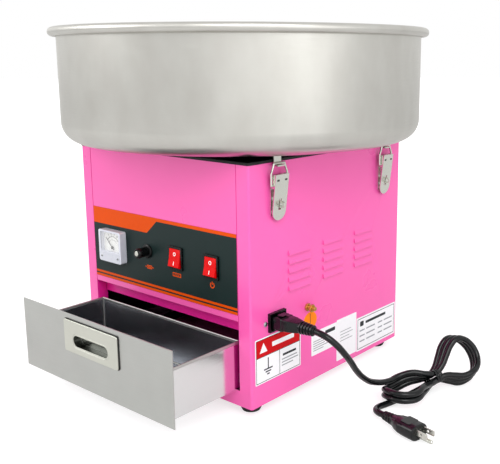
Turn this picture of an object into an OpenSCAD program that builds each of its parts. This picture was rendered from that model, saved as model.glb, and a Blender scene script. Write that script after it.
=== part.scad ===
// Countertop cotton candy machine: a square sheet metal cabinet with a storage drawer,
// a spun steel bowl held down by four draw latches, and a motor that spins a heated head.
// Millimetres. The origin is on the floor, under the spin axis; the front faces -Y.

/* [Cabinet] */
// Width and depth of the square cabinet
cabinet_w = 324; // [320:1:328]
// Height of the cabinet's top edge above the floor
cabinet_top = 316; // [315:1:317]
// Height of the rubber feet
foot_h = 12; // [10:1:12]
// Diameter of the rubber feet
foot_d = 26; // [24:1:32]
// Distance of the feet from the middle planes
foot_at = 140; // [136:1:147]
// Thickness of the sheet metal
sheet_t = 1.5; // [1.2:0.1:1.6]
// Outside radius of the sheet's bends
bend_r = 3; // [2.5:0.5:4]
// Width of the side panels' flanges on the front and rear
flange_w = 20; // [18:1:21]
// Height of the top edge of the front rail
rail_top = 32; // [30:0.5:32.5]
// Height of the lower edge of the control panel
lip_z = 122; // [120:1:126]
// Depth of the returns around the drawer's opening
jamb_depth = 17; // [12:1:20]

/* [Louvres] */
// Louvres in one column
louvre_rows = 5; // [1:1:5]
// Columns of louvres
louvre_columns = 3; // [1:1:3]
// Length of one louvre
louvre_w = 44; // [30:1:50]
// Height from one louvre to the next
louvre_pitch = 11.6; // [10:0.1:12]
// How far the louvres stand out
louvre_out = 2.5; // [2:0.5:4]

/* [Bowl] */
// Outside diameter over the rolled rim
bowl_d = 520; // [510:1:530]
// Height of the middle of the rolled rim
rim_z = 470; // [440:1:490]
// Radius of the rolled rim's section
rim_r = 5.8; // [4:0.2:7]
// Height of the bowl's underside
bowl_z = 325; // [325:0.5:326]
// Outside radius of the bowl's bottom corner
bowl_corner_r = 28; // [15:1:40]
// Thickness of the bowl's sheet
bowl_t = 1.2; // [0.8:0.1:1.6]

/* [Latches] */
// Distance of the latches from the middle plane
latch_y = 115; // [100:1:125]
// Width of a lever
lever_w = 24; // [22:1:25]
// Diameter of the bail's wire
bail_d = 3; // [2.4:0.2:3.2]

/* [Drawer] */
// Width of the drawer's front plate
drawer_front_w = 298; // [290:1:306]
// Height of the drawer's front plate
drawer_front_h = 94; // [90:1:96]
// Depth of the drawer's box
drawer_depth = 112; // [90:1:120]
// Outside width of the drawer's box
drawer_box_w = 275; // [260:1:275]
// Height of the drawer's side walls
drawer_box_h = 62; // [40:1:66]

/* [Controls] */
// Lower edge of the dark overlay
overlay_z = 130; // [128:1:134]
// Height of the dark overlay
overlay_h = 101; // [95:1:110]
// Middle of the voltmeter across the panel
meter_x = -94; // [-98:1:-88]
// Height of the voltmeter's middle
meter_z = 180.5; // [178:0.5:182]
// Middle of the fuse holder across the panel
fuse_x = -24.5; // [-32:0.5:-18]
// Height of the fuse holder and the switches
switch_z = 183.5; // [180:0.5:188]
// Middle of the heat switch across the panel
heat_x = 32.5; // [28:0.5:40]
// Middle of the power switch across the panel
power_x = 98; // [90:0.5:110]
// Turn of a rocker from off to on
rocker_turn = 20; // [14:1:20]

/* [Side fittings] */
// Middle of the mains inlet along the side
inlet_y = -116; // [-120:1:-110]
// Height of the mains inlet's middle
inlet_z = 116; // [110:1:120]
// Earth stud along the side
stud_y = -55; // [-60:1:-50]
// Height of the earth stud
stud_z = 117; // [110:1:125]

/* [Drive] */
// Diameter of the motor
motor_d = 124; // [110:1:130]
// Diameter of the spindle
spindle_d = 12; // [10:1:13]
// Diameter of the spinning head
head_d = 134; // [110:1:140]
// Height of the head's perforated band
band_h = 38; // [28:1:44]
// Slots in the band
band_slots = 48; // [24:4:60]

/* [Cord] */
// Diameter of the mains cord
cord_d = 8; // [7:0.5:8]

/* [Hidden] */
$fn = 48;
half = cabinet_w / 2;
front = -half;
pan_top = foot_h + sheet_t;
panel_x = half - flange_w;
seam = 0.8;
side_z = 148;
louvre_step = 70.5;
louvre_h = 6;
skirt_z = 285;
rear_screw_z = [50, 270];
deck_z = 300;
deck_t = 2;
deck_top = deck_z + deck_t;
trim_t = 1.2;
trim_z = 315;
rear_top = 306;
gasket_r = 120;
bowl_r = bowl_d / 2 - 2 * rim_r + 1.1;
bowl_hole_r = 30;
latch_sides = [[1, -1], [1, 1], [-1, -1], [-1, 1]];

// Latch places in its own frame: x out from the side panel, z above the floor
pivot = [6, 297];
bail_pivot = [6, 288];
bail_knee_z = 302.5;
bail_bar_z = 313.7;
bail_bar_y = 9.5;
keeper_w = 13;
latch_base_z = 250;
latch_base_top = 300;
latch_base_w = 19;
ear_t = 2;
eye_z = 264;
eye_x = 10.2;
eye_r = 2.2;
ear_r = 3.4;
rivet_r = 1.6;
lever_top = [12, 301];
lever_tip = [4.8, 244];
lever_t = 1.5;
cheek_y = lever_w / 2;
leg_y = cheek_y + 2.5;
pin_r = 1.5;
running = 0.05;

// The drawer stands fully open
drawer_y = front - drawer_depth;
plate_z = 28;
box_z = rail_top + 1;
box_half = drawer_box_w / 2;
wall_t = 1.2;
box_back = drawer_y + sheet_t + drawer_depth + 4;
runner_t = 2;
runner_z = 40;
runner_h = 12;
runner_back = -66;
guide_back = 52;
pull_w = 108;
pull_h = 42;
pull_z = 94;
slot_w = 74;
slot_h = 18;
slot_z = 90;

overlay_t = 0.4;
face = front - overlay_t;
meter_w = 48;
meter_h = 44.5;
meter_d = 10;
dial_w = 40;
dial_h = 27;
dial_z = meter_z + 6;
needle_pivot_z = meter_z - 2.5;
fuse_len = 30;
fuse_out = 3.3;
fuse_flange_r = 9.6;
fuse_cap_r = 6.6;
sleeve_r = 4;
sleeve_end = 8;
bezel_w = 25.5;
bezel_h = 31;
bezel_t = 2.6;
rocker_w = 20;
rocker_r = 12.7;
rocker_axis_y = face + 0.8;
rocker_face = 4.6;
rocker_lean = 6;

motor_top = 268;
motor_bottom = 170;
spindle_r = spindle_d / 2;
bearing_r = 14;
bearing_h = 9;
rotor_r = 30;
ring_r = 14;
head_r = head_d / 2;
head_z = 352;

inlet_w = 30;
inlet_h = 24;
inlet_out = 4;
nose_w = 24;
nose_h = 16.4;
relief_end = 224;
cord_r = cord_d / 2;

// The hank: a front lobe on the floor, a tie, and a rear lobe that stands up on one side.
// Its frame has u along the hank to the rear, v across it and z up.
hank_at = [290, 56];
hank_turn = -10;
lobe_tilt = 54;
run_front = 60;
run_back = 44;
front_r = 28;
rear_r = 34;
layer = 8.2;
hank_h = 3 * layer - 0.2;
block_l = 16;
split_v = -8;
waist_l = 28;
waist_w = 16.6;
waist_at = [-7, 10.8];
lobe_at = [3, 31];
lobe_hole_r = 16;
plug_end = 56;
tie_l = 12;
tie_t = 1;

function at_hank(u, v, z) = [hank_at[0] - u * sin(hank_turn) + v * cos(hank_turn),
    hank_at[1] + u * cos(hank_turn) + v * sin(hank_turn), z];

// Route of the lead from the strain relief to the hank, and of the tail from the hank to the plug
lead_route = [[224, -116, 116], [240, -115, 112.5], [251, -110, 104], [257, -100, 90], [256, -86, 75],
    [253, -70, 58], [250.5, -49, 40], [250, -29, 28], at_hank(-60, -25, 20.8), at_hank(-44, -22, 20.4)];
tail_route = [at_hank(-44, -3, 4.2), at_hank(-60, -3, 4.2), [273.6, -18.5, 4.2], [270.8, -31.5, 4.4],
    [269.4, -43.5, 5.4], [272.4, -54.6, 7.2], [281, -63, 9], [293, -66.3, 10]];
plug_at = tail_route[len(tail_route) - 1];
plug_turn = -11;

// Shared shapes

module along_x(x0, length) translate([x0, 0, 0]) rotate([90, 0, 90]) linear_extrude(length) children();

module along_y(y0, length) translate([0, y0 + length, 0]) rotate([90, 0, 0]) linear_extrude(length) children();

module along_z(z0, length) translate([0, 0, z0]) linear_extrude(length) children();

module rounded_square(w, h, r) {
    square([w - 2 * r, h], center = true);
    square([w, h - 2 * r], center = true);
    for (x = [-1, 1], y = [-1, 1]) translate([x * (w / 2 - r), y * (h / 2 - r)]) circle(r);
}

module ring(outer, inner) difference() { circle(outer); circle(inner); }

module obround(w, h) {
    square([w - h, h], center = true);
    for (x = [-1, 1]) translate([x * (w - h) / 2, 0]) circle(h / 2);
}

module at_corners(a) for (x = [-1, 1], y = [-1, 1]) translate([x * a, y * a, 0]) children();

// Turns the frame of a panel fitting so that its z points out of the control panel
module on_front(x, z, y = face) translate([x, y, z]) rotate([90, 0, 0]) children();

// Places a latch part on a side of the cabinet: side is [left or right, front or rear]
module at_latch(side) mirror([side[0] < 0 ? 1 : 0, 0, 0]) translate([half, side[1] * latch_y, 0]) children();

// Cabinet

module base_pan() color("hotpink") {
    difference() {
        along_z(foot_h, sheet_t) rounded_square(cabinet_w, cabinet_w, bend_r);
        at_corners(foot_at) cylinder(r = 2.6, h = 40);
    }
    translate([-half + bend_r, front, pan_top])
        cube([cabinet_w - 2 * bend_r, sheet_t, rail_top - pan_top]);
}

module sheet_ring() difference() {
    rounded_square(cabinet_w, cabinet_w, bend_r);
    rounded_square(cabinet_w - 2 * sheet_t, cabinet_w - 2 * sheet_t, bend_r - sheet_t + 0.4);
}

// Section of a louvre: an arc that leaves the panel at its top and stands open at its foot
module louvre_section(inner) intersection() {
    hood_r = (louvre_out ^ 2 + (louvre_h + 1) ^ 2) / (2 * louvre_out);
    translate([half + louvre_out - hood_r, 0]) difference() {
        circle(hood_r);
        if (inner) circle(hood_r - 1);
    }
    translate([half - sheet_t, 0]) square([20, 20]);
}

module at_louvres() for (c = [0:louvre_columns - 1], r = [0:louvre_rows - 1])
    translate([0, (c - 1) * louvre_step, side_z + r * louvre_pitch]) children();

module louvre_hood() {
    along_y(-louvre_w / 2, louvre_w) louvre_section(true);
    for (y = [-louvre_w / 2, louvre_w / 2 - 1]) along_y(y, 1) louvre_section(false);
}

module side_panel() {
    difference() {
        union() {
            along_z(pan_top, cabinet_top - pan_top) intersection() {
                sheet_ring();
                translate([panel_x, -half]) square([flange_w, cabinet_w]);
            }
            translate([panel_x, front + sheet_t - 0.5, rail_top])
                cube([sheet_t, jamb_depth - sheet_t + 0.5, skirt_z - 2 - rail_top]);
        }
        translate([panel_x - 1, front - 1, 0]) cube([flange_w + 1 - bend_r, sheet_t + 1.4, rail_top]);
        translate([half - 10, 0, 0]) at_louvres() translate([0, 1 - louvre_w / 2, 0])
            cube([20, louvre_w - 2, louvre_h]);
        for (z = rear_screw_z)
            translate([half - 12, half + 1, z]) rotate([90, 0, 0]) cylinder(r = 2, h = 10);
    }
    at_louvres() louvre_hood();
}

module right_side_panel() color("hotpink") difference() {
    side_panel();
    translate([0, inlet_y, inlet_z]) along_x(half - 10, 20) {
        square([inlet_w + 0.4, inlet_h + 0.4], center = true);
        for (y = [-20, 20]) translate([y, 0]) circle(1.6);
    }
    translate([0, stud_y, stud_z]) along_x(half - 10, 20) circle(3.1);
}

module left_side_panel() color("hotpink") mirror([1, 0, 0]) side_panel();

// Openings in the control panel behind the meter, the fuse and the switches
module panel_cutouts() {
    translate([meter_x, meter_z]) circle(20);
    translate([fuse_x, switch_z]) circle(6.2);
    for (x = [heat_x, power_x]) translate([x, switch_z]) square([22.4, 28.4], center = true);
}

module front_panel() color("hotpink") {
    panel_w = 2 * (panel_x - seam);
    along_y(front, sheet_t) difference() {
        translate([-panel_w / 2, lip_z]) square([panel_w, cabinet_top - lip_z]);
        panel_cutouts();
    }
    translate([-panel_w / 2, front, lip_z]) cube([panel_w, jamb_depth, sheet_t]);
    translate([-panel_w / 2, front + jamb_depth - sheet_t, lip_z - jamb_depth - 2])
        cube([panel_w, sheet_t, jamb_depth + 3]);
}

module rear_panel() color("hotpink") difference() {
    translate([-half + 6, half, 16]) cube([cabinet_w - 12, sheet_t, rear_top - 16]);
    for (x = [-1, 1], z = rear_screw_z) translate([x * (half - 12), half + 5, z])
        rotate([90, 0, 0]) cylinder(r = 2, h = 10);
}

module top_deck() color("dimgray") {
    inside = cabinet_w - 2 * sheet_t;
    difference() {
        along_z(deck_z, deck_t) rounded_square(inside, inside, bend_r);
        cylinder(r = 18, h = 400);
        at_corners(35) cylinder(r = 3, h = 400);
    }
    along_z(skirt_z, deck_z - skirt_z) difference() {
        rounded_square(inside, inside, bend_r);
        square(inside - 2 * sheet_t, center = true);
    }
}

module edge_trim() color("black") difference() {
    along_z(trim_z, cabinet_top + trim_t + 1 - trim_z) difference() {
        rounded_square(cabinet_w + 2 * trim_t, cabinet_w + 2 * trim_t, bend_r + trim_t);
        square(cabinet_w - 2 * (sheet_t + trim_t), center = true);
    }
    along_z(trim_z - 1, cabinet_top - trim_z + 1) sheet_ring();
}

module rubber_feet() color("black") at_corners(foot_at) difference() {
    union() {
        cylinder(d1 = foot_d - 4, d2 = foot_d, h = 3);
        translate([0, 0, 3]) cylinder(d = foot_d, h = foot_h - 3);
    }
    translate([0, 0, -1]) cylinder(r = 2.6, h = 30);
    translate([0, 0, -1]) cylinder(r = 5.5, h = foot_h - 4);
}

module cabinet_screws() color("silver") {
    at_corners(foot_at) {
        translate([0, 0, foot_h - 8]) cylinder(r = 5, h = 3);
        translate([0, 0, foot_h - 5]) cylinder(r = 2.5, h = 12);
    }
    for (x = [-1, 1], z = rear_screw_z) translate([x * (half - 12), half + sheet_t, z]) rotate([90, 0, 0]) {
        translate([0, 0, -2]) cylinder(r = 4, h = 2);
        cylinder(r = 1.9, h = 8);
    }
    for (y = [-20, 20]) translate([0, inlet_y + y, inlet_z]) {
        along_x(half, 1.8) circle(3.4);
        along_x(half - 8, 8) circle(1.5);
    }
}

// Bowl and its latches

module bowl_gasket() color("black") along_z(deck_top, bowl_z - deck_top) ring(gasket_r, gasket_r - 15);

// Half section of the bowl, with its corner and its rolled rim as true arcs
module bowl_section() {
    corner = [bowl_r - bowl_corner_r, bowl_z + bowl_corner_r];
    rim_x = bowl_d / 2 - rim_r;
    translate([bowl_hole_r, bowl_z]) square([corner[0] - bowl_hole_r, bowl_t]);
    translate([bowl_hole_r, bowl_z]) square([bowl_t, 20]);
    intersection() {
        translate(corner) ring(bowl_corner_r, bowl_corner_r - bowl_t);
        translate([corner[0], bowl_z]) square(bowl_corner_r);
    }
    translate([bowl_r - bowl_t, corner[1]]) square([bowl_t, rim_z - corner[1]]);
    difference() {
        translate([rim_x, rim_z]) ring(rim_r, rim_r - bowl_t);
        translate([rim_x - rim_r, rim_z - rim_r - 1]) square([rim_r - 1, rim_r]);
    }
}

module bowl() color("silver") rotate_extrude($fn = 96) bowl_section();

// A strip under the bowl that reaches over the cabinet's edge and ends in a ledge for the bail
module bowl_keepers() color("gainsboro") {
    leg_x = 2.4;
    ledge_z = bail_bar_z - bail_d / 2 - 0.3;
    for (side = latch_sides) at_latch(side) along_y(-keeper_w / 2, keeper_w) {
        translate([-20, bowl_z - 1.5]) square([20 + leg_x + 1.5, 1.5]);
        translate([leg_x, ledge_z - 1.5]) square([1.5, bowl_z - ledge_z + 1]);
        translate([leg_x, ledge_z - 1.5]) square([8, 1.5]);
        translate([leg_x + 7.3, ledge_z - 0.1]) square([0.7, 0.4]);
    }
}

module at_rivets() for (y = [-5.5, 5.5], z = [254.5, 283]) translate([0, y, z]) children();

module latch_bases() color("gainsboro") for (side = latch_sides) at_latch(side) difference() {
    union() {
        translate([0, -latch_base_w / 2, latch_base_z]) cube([1.2, latch_base_w, latch_base_top - latch_base_z]);
        for (y = [-latch_base_w / 2, latch_base_w / 2 - ear_t]) along_y(y, ear_t) {
            translate(pivot) circle(ear_r);
            translate([0.6, pivot[1] - ear_r]) square([pivot[0] - 0.6, 2 * ear_r]);
        }
        along_y(-1.5, 3) translate([0, eye_z]) {
            translate([0.6, -4]) square([9.4, 8]);
            translate([10, 0]) circle(4);
        }
    }
    along_y(-20, 40) translate(pivot) circle(pin_r);
    along_y(-20, 40) translate([eye_x, eye_z]) circle(eye_r);
    at_rivets() along_x(-1, 5) circle(rivet_r);
}

module latch_pins() color("silver") for (side = latch_sides) at_latch(side) {
    along_y(-cheek_y - 0.6, 2 * cheek_y + 1.2) translate(pivot) circle(pin_r);
    at_rivets() {
        along_x(0, 1.2) circle(rivet_r);
        along_x(1.2, 1) circle(3);
    }
}

module lever_plate() {
    top = lever_top;
    tip = lever_tip;
    polygon([top, [top[0] - lever_t, top[1]], [tip[0] - lever_t, tip[1]], tip]);
}

module lever_cheek() difference() {
    union() {
        translate(pivot) circle(4.3);
        polygon([[2.3, 297], [2.3, 287], [5, 284], [9, 284], [11, 300], lever_top, [6, 301]]);
    }
    translate(pivot) circle(pin_r + running);
    translate(bail_pivot) circle(bail_d / 2 + running);
}

module lever() color("gainsboro") {
    difference() {
        intersection() {
            along_y(-cheek_y, lever_w) lever_plate();
            along_x(0, 20) {
                translate([-cheek_y, lever_tip[1] + cheek_y]) square([lever_w, 80]);
                translate([0, lever_tip[1] + cheek_y]) circle(cheek_y);
            }
        }
        translate([-5, -2.3, eye_z - 7]) cube([30, 4.6, 14]);
    }
    for (y = [-cheek_y, cheek_y - lever_t]) along_y(y, lever_t) lever_cheek();
}

module right_front_lever() at_latch(latch_sides[0]) lever();
module right_rear_lever() at_latch(latch_sides[1]) lever();
module left_front_lever() at_latch(latch_sides[2]) lever();
module left_rear_lever() at_latch(latch_sides[3]) lever();

// A wire loop whose legs stand beside the lever and lean in to the bar that the keeper holds
module bail() color("gainsboro") {
    wire_r = bail_d / 2;
    drawn_r = wire_r - 0.06;
    overlap = 0.4;
    x = bail_pivot[0];
    lean = [leg_y - bail_bar_y, bail_bar_z - bail_knee_z];
    for (side = [-1, 1]) {
        translate([x, side * leg_y, bail_pivot[1]]) cylinder(r = wire_r, h = bail_knee_z + overlap - bail_pivot[1]);
        translate([x, side * leg_y, bail_knee_z]) rotate([side * atan2(lean[0], lean[1]), 0, 0])
            translate([0, 0, -overlap]) cylinder(r = drawn_r, h = norm(lean) + overlap);
        translate([x, side * leg_y, bail_pivot[1]]) sphere(wire_r);
        translate([x, side * bail_bar_y, bail_bar_z]) sphere(wire_r);
        along_y(side > 0 ? cheek_y - lever_t - 0.3 : -leg_y, leg_y - cheek_y + lever_t + 0.3)
            translate(bail_pivot) circle(wire_r);
    }
    along_y(-bail_bar_y, 2 * bail_bar_y) translate([x, bail_bar_z]) circle(wire_r);
}

module right_front_bail() at_latch(latch_sides[0]) bail();
module right_rear_bail() at_latch(latch_sides[1]) bail();
module left_front_bail() at_latch(latch_sides[2]) bail();
module left_rear_bail() at_latch(latch_sides[3]) bail();

// Drawer

module drawer_guides() color("gray") for (side = [0, 1]) mirror([side, 0, 0]) {
    lip = 1.6;
    gap = 0.4;
    leg_l = 20;
    guide_y = front + jamb_depth + 2;
    web_x = box_half + runner_t + 2;
    along_y(guide_y, guide_back - guide_y) {
        translate([web_x, runner_z - gap - lip]) square([lip, runner_h + 2 * (gap + lip)]);
        for (z = [runner_z - gap - lip, runner_z + runner_h + gap])
            translate([box_half + 0.5, z]) square([web_x - box_half - 0.4, lip]);
    }
    for (y = [guide_y + 8, guide_back - leg_l]) translate([web_x, y, pan_top]) {
        cube([lip, leg_l, runner_z - pan_top - gap - lip + 0.1]);
        cube([12, leg_l, lip]);
    }
}

module drawer_front() color("silver") {
    along_y(drawer_y, sheet_t) difference() {
        translate([-drawer_front_w / 2, plate_z]) square([drawer_front_w, drawer_front_h]);
        translate([0, slot_z]) obround(slot_w + 3, slot_h + 3);
    }
    for (side = [-1, 1]) translate([side * (box_half + 1.5) - 1, drawer_y + sheet_t, plate_z + 66])
        cube([2, 6, 22]);
}

module drawer_box() color("silver") {
    y0 = drawer_y + sheet_t;
    difference() {
        translate([-box_half, y0, box_z]) cube([drawer_box_w, box_back - y0, drawer_box_h]);
        translate([-box_half + wall_t, y0 - 1, box_z + wall_t])
            cube([drawer_box_w - 2 * wall_t, box_back - y0 + 1 - wall_t, drawer_box_h]);
    }
}

module drawer_pull() color("gainsboro") difference() {
    union() {
        along_y(drawer_y - 2.5, 2.5) translate([0, pull_z]) rounded_square(pull_w, pull_h, 3);
        along_y(drawer_y - 1, 13) translate([0, slot_z]) obround(slot_w + 2.6, slot_h + 2.6);
    }
    along_y(drawer_y - 10, 20.5) translate([0, slot_z]) obround(slot_w, slot_h);
}

// Arms fixed to the back of the box, which stay in the guides while the drawer stands open
module drawer_runners() color("gray") for (side = [0, 1]) mirror([side, 0, 0]) {
    tab = 20;
    translate([box_half - tab, box_back, runner_z]) cube([tab + runner_t, runner_t, runner_h]);
    translate([box_half, box_back, runner_z]) cube([runner_t, runner_back - box_back, runner_h]);
}

// Controls

module panel_overlay() color("darkslategray") along_y(face, overlay_t) difference() {
    translate([-panel_x + 1, overlay_z]) square([2 * panel_x - 2, overlay_h]);
    panel_cutouts();
}

module meter_case() color("whitesmoke") difference() {
    union() {
        on_front(meter_x, meter_z) linear_extrude(meter_d) rounded_square(meter_w, meter_h, 3);
        on_front(meter_x, meter_z, face + 30) cylinder(r = 19.5, h = 31);
    }
    on_front(meter_x, dial_z, face - 3) linear_extrude(10) square([dial_w, dial_h], center = true);
    on_front(meter_x, needle_pivot_z, face + 8) cylinder(r = 0.8, h = 40);
}

module meter_dial() color("white") difference() {
    on_front(meter_x, dial_z, face - 3) linear_extrude(1) square([dial_w, dial_h], center = true);
    on_front(meter_x, needle_pivot_z, face + 8) cylinder(r = 1, h = 40);
}

module meter_window() color("white", 0.4)
    on_front(meter_x, dial_z, face - 8.6) linear_extrude(1.2) square([dial_w, dial_h], center = true);

module meter_needle() color("black") on_front(meter_x, needle_pivot_z, face) {
    translate([0, 0, -6]) cylinder(r = 0.75, h = 12);
    translate([0, 0, 5]) cylinder(r = 2, h = 1.6);
    rotate(45) translate([-0.5, -4, 5.4]) cube([1, 22, 0.6]);
}

module fuse_holder() color("black") on_front(fuse_x, switch_z) difference() {
    union() {
        cylinder(r = fuse_flange_r, h = 3);
        translate([0, 0, -42]) cylinder(r = 6, h = 43);
    }
    translate([0, 0, -fuse_len - 6]) cylinder(r = sleeve_r + 0.3, h = 60);
}

module fuse_nut() color("dimgray") on_front(fuse_x, switch_z, front + sheet_t) translate([0, 0, -4]) difference() {
    cylinder(r = 9.5, h = 4, $fn = 6);
    translate([0, 0, -1]) cylinder(r = 6, h = 10);
}

module fuse_cap() color("black") on_front(fuse_x, switch_z) difference() {
    union() {
        translate([0, 0, fuse_out]) cylinder(r = fuse_cap_r, h = 14);
        translate([0, 0, fuse_out + 14]) cylinder(r1 = fuse_cap_r, r2 = fuse_cap_r - 1, h = 2);
    }
    cylinder(r = sleeve_r + running, h = sleeve_end + 0.3);
    translate([0, 0, fuse_out + 15.1]) linear_extrude(3) square([7, 1.2], center = true);
}

// The fuse in its sleeve, which the cap turns on and draws out
module fuse_link() color("white") on_front(fuse_x, switch_z) {
    translate([0, 0, -fuse_len]) cylinder(r = 3, h = fuse_len);
    translate([0, 0, -3]) cylinder(r = sleeve_r, h = sleeve_end + 3);
}

module switch_body(x) color("black") on_front(x, switch_z) difference() {
    union() {
        linear_extrude(bezel_t) rounded_square(bezel_w, bezel_h, 1.5);
        translate([0, 0, -24]) linear_extrude(25) square([22, 28], center = true);
        for (z = [-8, 0, 8]) translate([-3, z - 0.4, -32]) cube([6, 0.8, 10]);
    }
    translate([0, 0, -12]) linear_extrude(30) square([rocker_w + 0.6, 2 * rocker_r + 0.6], center = true);
    translate([0, 0, face - rocker_axis_y]) rotate([0, 90, 0]) cylinder(r = 1.2 + running, h = 21.6, center = true);
}

module heat_switch() switch_body(heat_x);
module power_switch() switch_body(power_x);

// A rocker at off: its upper half leans back into the bezel and its lower half stands out
module rocker(x) color("red") translate([x, rocker_axis_y, switch_z]) {
    along_x(-rocker_w / 2, rocker_w) intersection() {
        circle(rocker_r);
        polygon([[14 * tan(rocker_lean) - rocker_face, 14], [-rocker_face, 0],
            [-rocker_face - 14 * tan(rocker_turn - rocker_lean), -14], [3, -14], [3, 14]]);
    }
    along_x(-10.7, 21.4) circle(1.2);
}

module heat_rocker() rocker(heat_x);
module power_rocker() rocker(power_x);

// Side fittings

module inlet_socket() color("black") translate([0, inlet_y, inlet_z]) {
    difference() {
        union() {
            along_x(half - 28, 28 + inlet_out) square([inlet_w, inlet_h], center = true);
            along_x(half - sheet_t - 3, 3) difference() {
                square([52, inlet_h - 2], center = true);
                for (y = [-20, 20]) translate([y, 0]) circle(1.5);
            }
        }
        along_x(half - 18, 60) square([nose_w + 1, nose_h + 1], center = true);
    }
    along_x(half - 19, 16) inlet_pins(0);
}

module inlet_pins(room) for (p = [[-7, -2], [0, 2], [7, -2]])
    translate(p) square([2 + room, 4 + room], center = true);

module earth_stud() color("goldenrod") translate([0, stud_y, stud_z]) along_x(half - 8, 22) circle(3);

module earth_nuts() color("goldenrod") translate([0, stud_y, stud_z]) for (x = [half, half + 7, half - sheet_t - 3])
    along_x(x, 3) difference() { circle(5.5, $fn = 6); circle(3); }

// Drive

module motor_housing() color("slategray") difference() {
    along_z(motor_bottom, motor_top - motor_bottom) circle(d = motor_d);
    along_z(motor_bottom + 14, motor_top - motor_bottom - 28) circle(rotor_r + 1);
    along_z(motor_bottom - 1, bearing_h + 3) circle(bearing_r);
    along_z(motor_top - bearing_h - 2, bearing_h + 3) circle(bearing_r);
    along_z(motor_bottom - 1, 200) circle(spindle_r + 2);
    at_corners(35) along_z(motor_top - 12, 20) circle(3);
}

module motor_mounts() color("black") at_corners(35) {
    along_z(motor_top, deck_z - motor_top) circle(8);
    along_z(motor_top - 10, 11) circle(2.9);
    along_z(deck_z - 1, 8) circle(2.9);
    along_z(deck_top, 3) ring(6, 2.8);
}

module motor_bearings() color("silver") for (z = [motor_bottom + 2, motor_top - bearing_h - 2])
    along_z(z, bearing_h) ring(bearing_r, spindle_r + running);

module motor_rotor() color("dimgray")
    along_z(motor_bottom + 18, motor_top - motor_bottom - 36) ring(rotor_r, spindle_r);

module spindle() color("silver") along_z(motor_bottom - 6, head_z - motor_bottom + 4) circle(spindle_r);

module slip_rings() color("goldenrod") for (z = [274, 285]) along_z(z, 7) ring(ring_r, spindle_r);

module brush_block() color("saddlebrown") {
    translate([ring_r + 3, -10, motor_top + 3]) cube([22, 20, deck_z - motor_top - 3]);
    for (z = [275, 286]) translate([ring_r + 0.3, -3, z]) cube([4, 6, 5]);
}

module spinner_base() color("silver") {
    along_z(head_z - 14, 12) ring(16, spindle_r);
    along_z(head_z - 2, 5) circle(head_r);
}

module spinner_band() color("silver") difference() {
    along_z(head_z + 3, band_h) ring(head_r, head_r - 1.2);
    for (i = [0:band_slots - 1]) rotate(i * 360 / band_slots)
        translate([head_r - 4, -0.6, head_z + 9]) cube([8, 1.2, band_h - 12]);
}

module heater_ring() color("gray") {
    for (z = [10, 19, 28]) translate([0, 0, head_z + z]) rotate_extrude() translate([head_r - 9, 0]) circle(2.6);
    for (a = [0:90:270]) rotate(a) translate([head_r - 9, 0, 0]) along_z(head_z + 3, 28) circle(1.8);
}

module spinner_cap() color("silver") {
    along_z(head_z + 3 + band_h, 2.5) ring(head_r, 24);
    along_z(head_z + band_h - 9, 13) ring(25.5, 24);
}

// Mains cord

module cord_connector() color("black") translate([0, inlet_y, inlet_z]) difference() {
    union() {
        along_x(half - 17, 17 + inlet_out + 1) square([nose_w, nose_h], center = true);
        hull() {
            along_x(half + inlet_out, 14) rounded_square(28, 20, 4, $fn = 32);
            along_x(half + 38, 2) circle(7, $fn = 32);
        }
        along_x(half + 39, relief_end - half - 39) circle(6);
        for (i = [0:3]) along_x(half + 42 + i * 5, 2.6) circle(7);
    }
    along_x(half - 18, 18) inlet_pins(0.6);
}

function unit(v) = v / norm(v);

// Points of a smooth curve through the route, two to a step
function smooth(p) = [for (i = [0:len(p) - 2], t = [0, 0.5])
    let (a = p[max(i - 1, 0)], b = p[i], c = p[i + 1], d = p[min(i + 2, len(p) - 1)])
    ((2 * b) + (c - a) * t + (2 * a - 5 * b + 4 * c - d) * t ^ 2 + (3 * b - a - 3 * c + d) * t ^ 3) / 2,
    p[len(p) - 1]];

// A round tube along the points, whose end faces stand square to the directions given
module tube(points, first, last, r, sides = 10) {
    n = len(points);
    rings = [for (i = [0:n - 1])
        let (t = i == 0 ? first : i == n - 1 ? last : unit(points[i + 1] - points[i - 1]),
             across = unit(cross(t, [0, 0, 1])), up = cross(across, t))
        for (k = [0:sides - 1]) points[i] + r * (cos(k * 360 / sides) * across + sin(k * 360 / sides) * up)];
    polyhedron(rings, concat([[for (k = [0:sides - 1]) k]],
        [for (i = [0:n - 2], k = [0:sides - 1]) let (a = i * sides + k, b = i * sides + (k + 1) % sides)
            each [[a, a + sides, b], [b, a + sides, b + sides]]],
        [[for (k = [sides - 1:-1:0]) (n - 1) * sides + k]]));
}

module cord_lead() color("black") tube(smooth(lead_route), [1, 0, 0], [-sin(hank_turn), cos(hank_turn), 0], cord_r);

module cord_tail() color("black")
    tube(smooth(tail_route), [sin(hank_turn), -cos(hank_turn), 0], [cos(plug_turn), sin(plug_turn), 0], cord_r);

module in_hank() translate([hank_at[0], hank_at[1], 0]) rotate(hank_turn) children();

// Outline of the front lobe between two places across it, from its fold to the block of strands before the tie
module front_lobe(v0, v1) intersection() {
    union() {
        translate([0, -run_front]) circle(front_r);
        translate([-front_r, -run_front]) square([2 * front_r, run_front - waist_l - block_l]);
    }
    translate([v0, -run_front - front_r]) square([v1 - v0, run_front + front_r]);
}

// Section of the strands in the tie, turned with the rear lobe
module at_waist(u0, length) translate([waist_at[0], 0, waist_at[1]]) rotate([0, lobe_tilt, 0]) along_y(u0, length)
    translate([0, layer]) children();

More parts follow.
